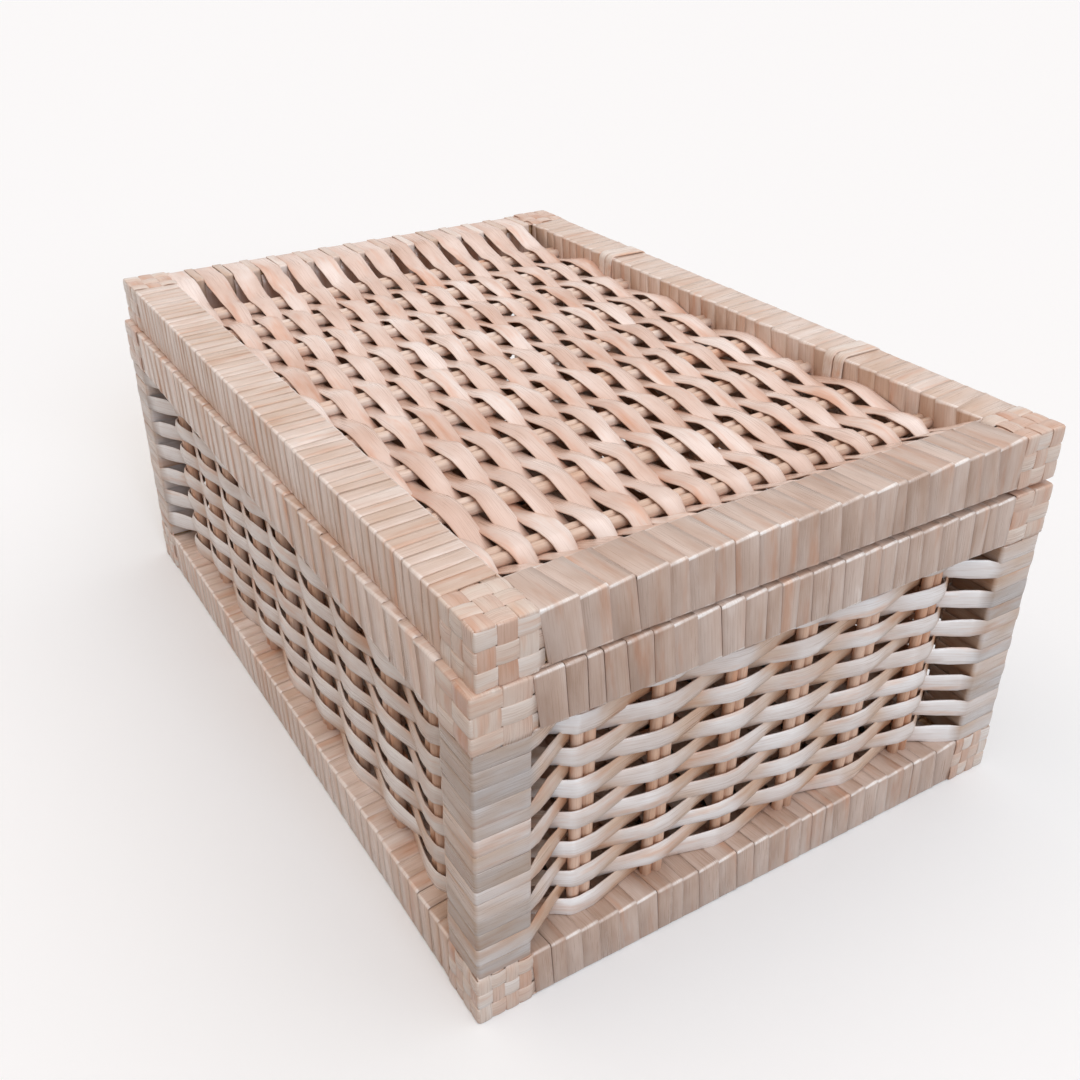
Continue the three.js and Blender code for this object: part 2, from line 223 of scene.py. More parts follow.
class Strands:
    """Strands gathered into one mesh. Its points carry the grain: the place along the strand, the
    place across it and a seed; and the tint: how light it is, how dull, and how near its edge."""

    def __init__(self, name):
        self.name = name
        self.random = luck(name)
        self.points, self.faces, self.grain, self.tint = [], [], [], []
        self.count = 0

    def add(self, path, normals, width, thick, tone, outline=FLAT, closed=False,
            roll=0.0, arch=0.0, dull=0.0, place=None):
        """Sweeps a strand along a path. It rolls about the path, and its middle arches outwards."""
        n, k = len(path), len(outline)
        width = np.broadcast_to(width, n)[:, None, None]
        thick = np.broadcast_to(thick, n)[:, None, None]
        roll = np.broadcast_to(roll, n)[:, None]
        if closed:
            tangents = unit(np.roll(path, -1, axis=0) - np.roll(path, 1, axis=0))
        else:
            tangents = unit(np.gradient(path, axis=0))
        sides = unit(np.cross(tangents, normals))
        ups = np.cross(sides, tangents)
        turned = sides * np.cos(roll) + ups * np.sin(roll)
        lifted = ups * np.cos(roll) - sides * np.sin(roll)
        across = outline[None, :, 0:1] * width / 2
        points = path[:, None, :] + turned[:, None, :] * across
        bow = np.broadcast_to(arch, n)[:, None, None] * (1 - outline[None, :, 0:1] ** 2)
        points = points + lifted[:, None, :] * (outline[None, :, 1:2] * thick + bow)
        points = points.reshape(-1, 3)
        if place is not None:
            points = points @ place[:3, :3].T + place[:3, 3]
        points[:, 2] = np.maximum(points[:, 2], 0)  # what the box stands on is pressed flat
        self.faces += self.skin(n, k, closed)
        lengths = np.linalg.norm(np.diff(path, axis=0), axis=1)
        along = np.concatenate([[0], np.cumsum(lengths)]) + self.random.uniform(*GRAIN_START_RANGE)
        grain = np.empty((n, k, 3))
        grain[:, :, 0] = along[:, None]
        grain[:, :, 1] = across[:, :, 0]
        grain[:, :, 2] = self.random.uniform(*GRAIN_SEED_RANGE)
        tint = np.empty((n, k, 3))
        tint[:, :, 0] = np.broadcast_to(tone, n)[:, None]
        tint[:, :, 1] = np.broadcast_to(dull, n)[:, None]
        tint[:, :, 2] = np.abs(outline[None, :, 0])
        self.points.append(points)
        self.grain.append(grain.reshape(-1, 3))
        self.tint.append(tint.reshape(-1, 3))
        self.count += n * k

    def skin(self, n, k, closed):
        """The faces between n outlines of k points, with a face over each end of an open strand."""
        ring = np.arange(n if closed else n - 1)[:, None]
        around = np.arange(k)[None, :]
        following, beside = (ring + 1) % n, (around + 1) % k
        quads = [ring * k + around, following * k + around, following * k + beside, ring * k + beside]
        faces = (np.stack(quads, axis=-1).reshape(-1, 4) + self.count).tolist()
        if not closed:
            faces.append([self.count + i for i in range(k)])
            faces.append([self.count + (n - 1) * k + i for i in reversed(range(k))])
        return faces

    def piece(self, body, material, slot, replaced=()):
        """The mesh as a piece that rides on a body and stands for the CAD nodes that it replaces."""
        mesh = bpy.data.meshes.new(self.name)
        mesh.from_pydata((np.vstack(self.points) * MM).tolist(), [], self.faces)
        mesh.shade_smooth()
        for name, rows in (("grain", self.grain), ("tint", self.tint)):
            attribute = mesh.attributes.new(name, "FLOAT_VECTOR", "POINT")
            attribute.data.foreach_set("vector", np.vstack(rows).astype(np.float32).ravel())
        mesh.materials.append(material)
        made = put_in_scene(self.name, mesh)
        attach(made, body)
        if replaced:
            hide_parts(*replaced)


# Places of the panels and rails


def matrix(turn, offset):
    place = np.eye(4)
    place[:3, :3] = turn
    place[:3, 3] = offset
    return place


def about_z(quarters):
    c, s = round(math.cos(quarters * math.pi / 2)), round(math.sin(quarters * math.pi / 2))
    return np.array([[c, -s, 0], [s, c, 0], [0, 0, 1.0]])


def lid_matrix():
    c, s = math.cos(LID_TILT), math.sin(LID_TILT)
    turn = np.array([[1.0, 0, 0], [0, c, -s], [0, s, c]])
    pin = np.array([LID_HALF_LENGTH - CORE, CORE - LID_HALF_DEPTH, CORE])
    return matrix(turn, FRONT_PIN - turn @ pin)


# Each frame of rails: its place, half sizes and body
TOP_MIDDLE = BODY_MIDDLE + [0, 0, BODY_TOP - RAIL]
FRAMES = {
    "bottom": (matrix(np.eye(3), BODY_MIDDLE), HALF_LENGTH, HALF_DEPTH, "basket"),
    "top": (matrix(np.eye(3), TOP_MIDDLE), HALF_LENGTH, HALF_DEPTH, "basket"),
    "lid": (lid_matrix(), LID_HALF_LENGTH, LID_HALF_DEPTH, "lid"),
}


def side_sizes(side, half_length, half_depth):
    """Half the length of a side, and how far its outer face is from the middle."""
    return (half_length, half_depth) if side in LONG_SIDES else (half_depth, half_length)


def rail_place(frame_name, side):
    place, half_length, half_depth, body = FRAMES[frame_name]
    half, face = side_sizes(side, half_length, half_depth)
    return place @ matrix(about_z(SIDES[side]), [0, 0, 0]), half, face, body


def pair_places(half, pairs):
    reach = half - RAIL - END_SPACE
    return np.linspace(-reach, reach, pairs)


# Winding on the rails

SKEIN = 0.9  # its thickness
SKEIN_BOW = 0.06
SKEIN_LAP = 0.3  # how far most turns lap the next
CRACK = 0.38  # the widest gap between the others
CRACK_SIZE_RANGE = (0.5, 1)

# For the back, left, front and right rails
CRACK_SHARES = {
    "lid": (0.3, 0.3, 0.22, 0.22),
    "top": (0.35, 0.3, 0.15, 0.5),
    "bottom": (0.3, 0.3, 0.2, 0.4),
}
STRIP_WIDTHS = {
    "lid": (9.5, 8, 6.4, 10.5),
    "top": (10, 9, 11, 9),
    "bottom": (9, 8.5, 8, 8.2),
}
RAIL_TONES = (0.5, 0.35, 0.62, 0.3)

TURN_RANGE = (0.72, 1.28)  # the width of a turn as a share of the usual one
NARROW_EVERY = 12  # about one turn in so many is narrow
NARROW_SHARE = 0.6
END_SHARE = 1.35  # the first and the last turn are wide
LEAST_WIDTH = 0.4
LOOSE_END = 0.46  # how far the skein runs on past its first and last edge, in turns

# The common edge of two turns wavers and ripples, less so near the ends
WAVER = 0.3
WAVER_RATES = (8, 20)
RIPPLE = 0.1
RIPPLE_RATES = (25, 45)
WAVER_TURNS = 10  # its rates hold for so many turns
HELD_TURNS = 0.5

# The skein lies a little proud here and deeper there, and rolls so that an edge lifts
LIFT = 0.12
LIFT_RATES = (2, 6)
SKEIN_ROLL = 0.022
SKEIN_ROLL_DRIFT = 1.2
SKEIN_ROLL_RATES = (2, 7)
LIFT_TURNS = 3

TURN_TONE = 0.38
ARRIS = 0.8  # the radius at which the skein turns over a rail's edge
ARRIS_HIGHLIGHT = 1.6  # the skein is painted lighter there, a painted highlight along the rail's edge
RING_TILT_RANGE = (-0.02, 0.02)
RING_WIDTH_RANGE = (-0.2, 0.2)
RING_TONE_RANGE = (0, 1)
RING_GAP = 0.3


def square_loop(half, radius, per_corner=4):
    """Points round a square with rounded corners, their normals, and the share of the way round."""
    points, normals = [], []
    for corner in range(4):
        start = (corner / 2 - 1) * math.pi
        diagonal = start + math.pi / 4
        middle = np.array([math.copysign(half - radius, f(diagonal)) for f in (math.cos, math.sin)])
        for angle in np.linspace(start, start + math.pi / 2, per_corner):
            normal = np.array([math.cos(angle), math.sin(angle)])
            points.append(middle + radius * normal)
            normals.append(normal)
    points, normals = np.array(points), np.array(normals)
    steps = np.linalg.norm(np.roll(points, -1, axis=0) - points, axis=1)
    shares = np.concatenate([[0], np.cumsum(steps)[:-1]]) / steps.sum()
    return points, normals, shares


def helix(random, low, high, pitch, crack_share):
    """Turns of skein between two ends, with the place of their common edges and the gap there."""
    turns = max(2, int(round((high - low) / pitch)))
    sizes = random.uniform(*TURN_RANGE, turns)
    sizes[random.randint(0, turns, 1 + turns // NARROW_EVERY)] *= NARROW_SHARE
    sizes[[0, -1]] *= END_SHARE
    edges = low + (high - low) * np.concatenate([[0], np.cumsum(sizes)]) / sizes.sum()
    cracked = random.uniform(0, 1, turns + 1) < crack_share
    gaps = np.where(cracked, CRACK, -SKEIN_LAP) * random.uniform(*CRACK_SIZE_RANGE, turns + 1)
    waver, ripple = drift(random, WAVER_RATES), drift(random, RIPPLE_RATES)

    def edge(at):
        held = np.clip(np.minimum(at, turns - at), 0, HELD_TURNS) / HELD_TURNS
        shift = WAVER * waver(at / WAVER_TURNS) + RIPPLE * ripple(at / WAVER_TURNS)
        return np.interp(at, np.arange(turns + 1), edges) + held * shift

    return turns, edge, lambda at: np.interp(at, np.arange(turns + 1), gaps)


def wind(name, place, half, face, pitch, tone, crack_share):
    """Skein wound round a rail, turn beside turn."""
    strands = Strands(name)
    random = strands.random
    turns, edge, gap = helix(random, RAIL - half, half - RAIL, pitch, crack_share)
    loop, outward, shares = square_loop(CORE - SKEIN / 2, ARRIS)
    at = np.add.outer(np.arange(-1, turns + 1), shares).ravel()
    kept = (at > -LOOSE_END) & (at < turns + LOOSE_END)
    at = at[kept]
    rows, normals = [np.tile(line, (turns + 2, 1))[kept] for line in (loop, outward)]
    before = edge(at - 0.5) + gap(at - 0.5) / 2
    after = edge(at + 0.5) - gap(at + 0.5) / 2
    width = np.maximum(after - before, LEAST_WIDTH)
    middle = (before + after) / 2
    path = np.column_stack([middle, face - CORE + rows[:, 0], CORE + rows[:, 1]])
    out = np.column_stack([np.zeros(len(at)), normals])
    lift = LIFT * drift(random, LIFT_RATES)(at / LIFT_TURNS)
    path = path + out * lift[:, None]
    tones = tone + random.uniform(-TURN_TONE, TURN_TONE, turns + 2)
    shades = np.interp(at, np.arange(-1, turns + 1), tones)
    # A painted highlight: the skein is lighter where it turns over a rail's edge
    shades = shades + ARRIS_HIGHLIGHT * np.abs(normals[:, 0] * normals[:, 1])
    roll = SKEIN_ROLL * (1 + SKEIN_ROLL_DRIFT * drift(random, SKEIN_ROLL_RATES)(at / LIFT_TURNS))
    strands.add(path, out, width, SKEIN, shades, TIGHT, roll=roll, arch=SKEIN_BOW, place=place)
    return strands


def closed_turn(strands, square, at, face, width, thick, tones, place):
    """A closed turn of skein round a rail, a little out of square."""
    loop, outward, _ = square
    xs = at + loop @ strands.random.uniform(*RING_TILT_RANGE, 2)
    path = np.column_stack([xs, loop[:, 0] + face - CORE, loop[:, 1] + CORE])
    normals = np.column_stack([np.zeros(len(loop)), outward])
    tone = strands.random.uniform(*tones)
    strands.add(path, normals, width, thick, tone, closed=True, place=place)


def rings_between_weavers(place, face):
    """The lid's left rail is wound only between the weavers that run over it."""
    strands = Strands("lid_left_skein")
    square = square_loop(CORE - SKEIN / 2, ARRIS)
    rows, pitch = panel_rows(LID_HALF_DEPTH)
    room = 2 * pitch - PANEL_WEAVER - SPREAD - RING_GAP
    for y in rows[1::2]:
        width = room + strands.random.uniform(*RING_WIDTH_RANGE)
        closed_turn(strands, square, y, face, width, SKEIN, RING_TONE_RANGE, place)
    return strands


# Plaited corners

LEVELS = 3  # bands that lie level round a corner, one over the other
COLUMNS = {"lid": 3, "top": 2, "bottom": 4}  # upright bands on each face
PLAIT_SKEIN = 0.6
PLAIT_BOW = 0.2
PLAIT_GAP = 0.3
PLAIT_WIDTH_RANGE = (-0.3, 0.1)
PLAIT_LIFT = 0.4  # from the middle level to a band that passes over or under
PLAIT_DEPTH = 0.3  # the middle level lies this far under the face of the winding
PLAIT_JITTER = 0.06
CELL_FLAT = (0.28, 0.72)  # the part of a cell over which a band lies level
PLAIT_STEP = 0.4
PLAIT_SOFT = 0.6
PLAIT_THINNING = (0.16, 4.0)
UPRIGHT_TONE_RANGE = (0, 0.8)
LEVEL_TONE_RANGE = (0.5, 1)

# A band ends under the first turn of skein, or runs in over the edge of a frame that is open there
UNDER_SKEIN = 2.2
UNDER_SKEIN_DEPTH = 1.05
EDGE_IN = 1.0
EDGE_OUT = 2.0
TURN_WIDE = 0.25  # how far a band's corner stands out at the bottom
TURN = 0.15  # and elsewhere


# Ways to lay a band's line over a corner. A direction has no place of its own.


def across_x(x):
    return lambda a, b, direction: [0 if direction else x, -a, b]


def across_y(y):
    return lambda a, b, direction: [-a, 0 if direction else y, b]


def at_level(z):
    return lambda a, b, direction: [-a, -b, 0 if direction else z]


def band(strands, points, embed, width, tone, place):
    """A band that follows a line in a plane, with its outer face to the left of its way."""
    line = smooth(points, PLAIT_STEP, PLAIT_SOFT)
    line = line[thin(line, *PLAIT_THINNING)]
    tangents = unit(np.gradient(line, axis=0))
    left = np.column_stack([-tangents[:, 1], tangents[:, 0]])
    path = np.array([embed(a, b, False) for a, b in line])
    normals = np.array([embed(a, b, True) for a, b in left])
    strands.add(path, normals, width, PLAIT_SKEIN, tone, arch=PLAIT_BOW, place=place)


def plait(name, frame_name, index):
    """Three families of bands over a corner: level, and upright on either face."""
    frame_place, half_length, half_depth, body = FRAMES[frame_name]
    way_x, way_y = CORNER_SIGNS[index]
    place = frame_place @ matrix(about_z(index), [way_x * half_length, way_y * half_depth, 0])
    strands = Strands(name)
    random = strands.random
    columns = COLUMNS[frame_name]
    cell, step = RAIL / columns, RAIL / LEVELS
    flip = 1 if frame_name == "bottom" else 0
    tail = [(RAIL + UNDER_SKEIN, UNDER_SKEIN_DEPTH)]

    def run(overs, size):
        """Points across the cells of one face, each with its place and level."""
        out = []
        for i, over in enumerate(overs):
            lift = (PLAIT_LIFT if over else -PLAIT_LIFT) - PLAIT_DEPTH
            lift += random.uniform(-PLAIT_JITTER, PLAIT_JITTER)
            out += [(size * (i + share), lift) for share in CELL_FLAT]
        return out

    def band_width(room):
        return room - PLAIT_GAP + random.uniform(*PLAIT_WIDTH_RANGE)

    for i in range(columns):
        for upright, embed_at in ((1, across_x), (0, across_y)):
            face_over = [(i + k + flip) % 2 == upright for k in range(LEVELS)]
            flat_over = [(i + j) % 2 == 1 - upright for j in range(columns)]
            if frame_name == "top":
                points = [(EDGE_IN, -EDGE_OUT)]
            else:
                points = tail + [(at, -lift) for at, lift in reversed(run(flat_over, cell))]
                points.append((-TURN_WIDE, 0))
            points += [(-lift, at) for at, lift in run(face_over, step)]
            if frame_name == "bottom":
                points.append((EDGE_IN, RAIL + EDGE_OUT))
            else:
                points.append((-TURN, RAIL + TURN))
                points += [(at, RAIL + lift) for at, lift in run(flat_over, cell)]
                points.append((RAIL + UNDER_SKEIN, RAIL - UNDER_SKEIN_DEPTH))
            width = band_width(cell)
            tone = random.uniform(*UPRIGHT_TONE_RANGE)
            band(strands, points, embed_at(-cell * (i + 0.5)), width, tone, place)
    for k in range(LEVELS):
        before = [(i + k + flip) % 2 == 0 for i in range(columns)]
        after = [(j + k + flip) % 2 == 1 for j in range(columns)]
        points = tail + [(at, -lift) for at, lift in reversed(run(before, cell))]
        points.append((-TURN, -TURN))
        points += [(-lift, at) for at, lift in run(after, cell)]
        points.append((UNDER_SKEIN_DEPTH, RAIL + UNDER_SKEIN))
        width = band_width(step)
        tone = random.uniform(*LEVEL_TONE_RANGE)
        band(strands, points, at_level(step * (k + 0.5)), width, tone, place)
    return strands, body


# Sticks

STICK_STEP = 9
LEAST_STICK_POINTS = 6
STICK_SIZE_RANGE = (0.9, 1.0)
STICK_SWELL = 0.05
STICK_SWELL_LENGTH = 60
STICK_WANDER = 0.3  # along the panel
STICK_SWAY = 0.2  # out of the panel
STICK_TONE = 0.3
PAIR_TONE_RANGE = (0.3, 0.7)
STICK_TUCK = 1  # how far a stick's end runs into the rails' winding


def stick_pair(strands, start, end, side, up):
    """Two round sticks side by side, neither of them quite straight."""
    random = strands.random
    tone = random.uniform(*PAIR_TONE_RANGE)
    length = np.linalg.norm(end - start)
    count = max(LEAST_STICK_POINTS, int(length / STICK_STEP))
    shares = np.linspace(0, 1, count)[:, None]
    held = np.sin(math.pi * shares)
    for way in (-1, 1):
        radius = STICK * random.uniform(*STICK_SIZE_RANGE)
        swell = STICK_SWELL * drift(random)(shares[:, 0] * length / STICK_SWELL_LENGTH)
        thickness = 2 * radius * (1 + swell)
        wander = STICK_WANDER * drift(random)(shares * length / DECIMETRE) * held
        sway = STICK_SWAY * drift(random)(shares * length / DECIMETRE) * held
        path = start + (end - start) * shares
        path = path + side * (way * radius + wander) + up * sway
        normals = np.broadcast_to(up, path.shape)
        shade = tone + random.uniform(-STICK_TONE, STICK_TONE)
        strands.add(path, normals, thickness, thickness, shade, ROUND)


def stick_pairs(name, place, places, ends, up):
    """A pair of sticks at each place along X, all between the same two ends in Y and Z."""
    strands = Strands(name)
    turn, middle = place[:3, :3], place[:3, 3]
    for x in places:
        start, end = [middle + turn @ np.array([x, y, z]) for y, z in ends]
        stick_pair(strands, start, end, turn @ np.array([1.0, 0, 0]), turn @ np.array(up))
    return strands


def stakes(side):
    _, face, places = wall_pairs(side)
    place = matrix(about_z(SIDES[side]), BODY_MIDDLE)
    ends = [(face - CORE, RAIL - STICK_TUCK), (face - CORE, BODY_TOP - RAIL + STICK_TUCK)]
    return stick_pairs(side + "_stakes", place, places, ends, (0, 1.0, 0))


def panel_sticks(name, frame_name):
    place, half_length, half_depth, body = FRAMES[frame_name]
    reach = half_depth - RAIL + STICK_TUCK
    places = pair_places(half_length, LONG_PAIRS)
    return stick_pairs(name, place, places, [(-reach, CORE), (reach, CORE)], (0, 0, 1.0)), body


# Walls

# The walls in the order that a weaver meets them, from the front left post
TOUR = ("front", "right", "back", "left")
TOUR_POSTS = ("front_left", "front_right", "back_right", "back_left")

# Where a weaver passes a post
POST_LEVEL = CORE - 0.35  # the middle of a weaver that passes outside it
ONTO_POST = 1.2  # how far past the post's inner edge it is level with that
ROUND_POST = 0.4  # and how far short of the corner it turns
INSIDE_POST = 0.9  # how far from the post's faces one lies that passes inside it
POST_BLEND = 5  # the length over which a weaver takes on the width that it has on a post
POST_BLEND_SHIFT = 0.8
POST_JITTER = 1.1  # how far the edge of two strips on a post strays from its row
POST_LAP = 0.2
POST_SHIFT = 0.15
POST_THINNER = 0.15
POST_FLATTER = 0.7

# The skein wrapped round the posts
POST_ARRIS = 1.3
UNDER_LAYER = (1.1, 0.6)  # how far its middle lies within the post's face, and its thickness
OUTER_LAYER = (0.4, 0.9)
WRAP_LAP = 0.1
WRAP_TONE_RANGE = (0.45, 0.75)
DULL_RANGE = (0.05, 1.1)

# Small changes along a weaver of the walls
WAVE = 0.22  # it rises and falls three times on its way round
WAVE_START_RANGE = (0, 6)
HEIGHT_DRIFT = 0.3
WIDTH_DRIFT = 0.35
WIDTH_RANGE = (-0.2, 0.2)
WEAVER_ROLL = 0.1

# How light a weaver is: painted light, lighter where it crests or turns to the window, and painted
# shade where it dives or where a post's skein faces away from the window
WALL_TONE = 0.4
CREST_TONE = 0.5
POST_TONE = 0.25
TONE_DRIFT = 0.4
POST_TONE_DRIFT_LOSS = 0.5
WINDOW_LEAN_LIGHT = 1.1
SHADED_POST_TONE = 0.4


def post_edges(corner):
    """Heights of the edges of the strips on a post, from the top down."""
    edges = BODY_TOP - RAIL - ROW_MARGIN - ROW_PITCH * np.arange(WALL_ROWS + 1)
    edges[1:-1] += luck(corner + "_post_edges").uniform(-POST_JITTER, POST_JITTER, WALL_ROWS - 1)
    return edges


POST_EDGES = np.array([post_edges(corner) for corner in CORNERS])


def on_post(line):
    """1 where a line lies on a post, 0 between the posts, and in between near their faces."""
    inside = np.minimum(np.abs(line[:, 0]) - HALF_LENGTH + RAIL, np.abs(line[:, 1]) - HALF_DEPTH + RAIL)
    return np.clip(inside / POST_BLEND + POST_BLEND_SHIFT, 0, 1)


def wall_pairs(side):
    half, face = side_sizes(side, HALF_LENGTH, HALF_DEPTH)
    return half, face, pair_places(half, LONG_PAIRS if side in LONG_SIDES else SHORT_PAIRS)


def passes_inside(corner, row):
    """Whether a row's weaver passes inside a post: the back ones and the front ones by turns."""
    return corner.startswith("front") == (row % 2 == 1)


def past_pair(random, place, out):
    """The start and end of a weaver's level run past a pair, and how far it lies from the middle."""
    reach = out * (STICK + WEAVER / 2 + STICK_GAP + random.uniform(*GAP_RANGE))
    bend = BEND + random.uniform(*BEND_RANGE)
    return place - bend, place + bend, reach


def ring_path(random, row):
    """The line of one weaver round the four walls, outside a pair, inside the next and so on."""
    out = -1 if row % 2 == 0 else 1
    points = []
    for index, side in enumerate(TOUR):
        first, last = TOUR_POSTS[index], TOUR_POSTS[(index + 1) % 4]
        half, face, places = wall_pairs(side)
        turn = about_z(SIDES[side])[:2, :2]
        along, outward = -turn[:, 0], turn[:, 1]
        inner = half - RAIL

        def put(u, v):
            points.append(along * u + outward * (face - CORE + v))

        if passes_inside(first, row):
            put(-inner + INSIDE_POST, -CORE - INSIDE_POST)
        else:
            put(-inner - ONTO_POST, POST_LEVEL)
        for i, place in enumerate(places):
            low, high, reach = past_pair(random, place, out)
            put(low, reach)
            put(high, reach)
            if i < len(places) - 1:
                out = -out
        if passes_inside(last, row):
            put(inner - INSIDE_POST, -CORE - INSIDE_POST)
        else:
            put(inner + ONTO_POST, POST_LEVEL)
            put(half - ROUND_POST, POST_LEVEL)
    soft = smooth(points, STEP, SOFT, closed=True)
    crisp = smooth(points, STEP, CRISP, closed=True)
    return soft + (crisp - soft) * on_post(crisp)[:, None]


def off_middle(line):
    """How far outside the middle of its wall each point of a line lies."""
    ends = np.abs(line[:, 0]) - (HALF_LENGTH - CORE)
    sides = np.abs(line[:, 1]) - (HALF_DEPTH - CORE)
    return np.where(np.abs(ends) < np.abs(sides), ends, sides)


def away_from_window(normals):
    """How much darker the skein on a post is where it faces away from the window."""
    return -SHADED_POST_TONE * (1 - np.clip(normals[:, 0], 0, 1))


def wall_ring(row):
    """One weaver round the four walls, wider and duller where it lies on a post."""
    strands = Strands("wall_weaver_%02d" % (row + 1))
    random = strands.random
    line = ring_path(random, row)
    line = line[thin(line, *WEAVER_THINNING)]
    x, y = line.T
    following = np.roll(line, -1, axis=0)
    tangents = unit(following - np.roll(line, 1, axis=0))
    normals = np.column_stack([tangents[:, 1], -tangents[:, 0], np.zeros(len(line))])
    turned = np.arctan2(y, x)
    along = np.cumsum(np.linalg.norm(following - line, axis=1)) / DECIMETRE
    share = on_post(line)
    crest = np.clip(off_middle(line) / SWING, -1, 1) * (1 - share)
    nearest = np.where(y > 0, np.where(x > 0, 0, 1), np.where(x < 0, 2, 3))
    upper, lower = POST_EDGES[nearest, row : row + 2].T

    height = BODY_TOP - RAIL - ROW_MARGIN - ROW_PITCH * (row + 0.5)
    heights = height + WAVE * np.sin(3 * turned + random.uniform(*WAVE_START_RANGE))
    heights = heights + HEIGHT_DRIFT * drift(random, LIVELY_RATES)(turned)
    heights = heights + ((upper + lower) / 2 - heights) * share

    far = (y > HALF_DEPTH - RAIL) | (x < RAIL - HALF_LENGTH)
    width = WALL_WEAVER + FAR_SIDES_WIDER * far + CREST * crest**2
    width = width + WIDTH_DRIFT * drift(random, LIVELY_RATES)(turned) + random.uniform(*WIDTH_RANGE)
    width = width + (upper - lower + POST_LAP - width) * share
    thick = WEAVER * (1 - POST_THINNER * share)

    unevenness = drift(random, CALM_RATES)(along) * (1 - POST_TONE_DRIFT_LOSS * share)
    # Painted light and shade: lighter at a crest and where the strip turns to the window, darker in a
    # dive and on a post's faces away from the window
    tone = WALL_TONE + CREST_TONE * crest + POST_TONE * share + TONE_DRIFT * unevenness
    lean = np.where(np.abs(normals[:, 0]) < np.abs(normals[:, 1]), normals[:, 0], -normals[:, 1])
    tone = tone + WINDOW_LEAN_LIGHT * lean * (1 - share) + away_from_window(normals) * share

    roll = WEAVER_ROLL * drift(random, LIVELY_RATES)(along) * (1 - share)
    arch = BOW * (1 - POST_FLATTER * share)
    path = np.column_stack([line, heights]) + BODY_MIDDLE
    path = path + normals * (random.uniform(-POST_SHIFT, POST_SHIFT) * share)[:, None]
    dull = share * random.uniform(*DULL_RANGE)
    strands.add(path, normals, width, thick, tone, closed=True, roll=roll, arch=arch, dull=dull)
    return strands


def post_wraps(name, index):
    """The layer of skein under the weavers on a post, and over the levels that they leave bare."""
    strands = Strands(name)
    random = strands.random
    way_x, way_y = CORNER_SIGNS[index]
    centre = BODY_MIDDLE + [way_x * (HALF_LENGTH - CORE), way_y * (HALF_DEPTH - CORE), 0]
    for row in range(WALL_ROWS):
        upper, lower = POST_EDGES[index, row : row + 2]
        bare = passes_inside(CORNERS[index], row)
        for depth, thick in (UNDER_LAYER, OUTER_LAYER) if bare else (UNDER_LAYER,):
            loop, outward, _ = square_loop(CORE - depth, POST_ARRIS, per_corner=5)
            tilt = random.uniform(*RING_TILT_RANGE, 2)
            path = np.column_stack([loop, (upper + lower) / 2 + loop @ tilt]) + centre
            normals = np.column_stack([outward, np.zeros(len(loop))])
            width = upper - lower + WRAP_LAP
            tone = random.uniform(*WRAP_TONE_RANGE) + away_from_window(normals)
            dull = random.uniform(*DULL_RANGE)
            strands.add(path, normals, width, thick, tone, closed=True, dull=dull)
    return strands


# Flat panels

SPREAD = 1.8  # how much wider a weaver is over the lid's left rail
CURL = 1.9  # how far its middle stands over its edges where it dives at the lid's right rail
CURL_NARROWER = 1.5
# A painted highlight: how much lighter a weaver is where it curls down at the lid's right rail
CURL_HIGHLIGHT = 0.35
CURL_LENGTH = 12
HEAD_END = 3.5  # how far short of the rail's upper face a weaver ends that goes round the rail
OVER_RAIL = 0.1  # how far it stands over the skein beside it
OVER_RAIL_IN = 0.6
# The last two points of one that dives or rises: past the rail's inner face, and their height
DIVE = ((-0.2, 2.3), (1.4, 1.9))
RISE = ((-0.3, RAIL - 1.7), (1.2, RAIL - 1.2))
PANEL_BLEND = 3  # the length over which a weaver lies down on a rail
PANEL_SWAY = 0.7
PANEL_WIDTH_RANGE = (-0.25, 0.25)
PANEL_WIDTH_DRIFT = 0.5
PANEL_TONE = 0.5
# How much lighter a panel's weaver is painted where it crests over a pair, and darker where it dives:
# painted light and shade
PANEL_CREST_TONE = 0.25
PANEL_TONE_RANGE = (-0.2, 0.2)
PANEL_TONE_DRIFT = 0.6
PANEL_ROLL = 0.24
BOW_DRIFT = 0.7


def panel_rows(half_depth):
    """The places of a panel's weavers from front to back, and the distance between two."""
    pitch = (2 * half_depth - 2 * RAIL - 2 * ROW_MARGIN) / PANEL_ROWS
    low = RAIL + ROW_MARGIN - half_depth
    return [low + pitch * (j + 0.5) for j in range(PANEL_ROWS)], pitch


def row_line(random, half_length, over_first, is_lid):
    """The line of one weaver of a flat panel, along X and Z."""
    inner = half_length - RAIL
    level = CORE - SKEIN / 2
    if is_lid and over_first:
        back = CORE - half_length
        points = [(back + level, RAIL - HEAD_END), (back + level, CORE - level)]
        points += [(back - level, CORE - level), (back - level, CORE + level)]
        points.append((back + level - OVER_RAIL_IN, CORE + level + OVER_RAIL))
    else:
        points = [(-inner - x, z) for x, z in reversed(DIVE)]
    out = 1 if over_first else -1
    for place in pair_places(half_length, LONG_PAIRS):
        low, high, reach = past_pair(random, place, out)
        points += [(low, CORE + reach), (high, CORE + reach)]
        out = -out
    points += [(inner + x, z) for x, z in (RISE if is_lid and not over_first else DIVE)]
    return smooth(np.array(points), STEP, SOFT)


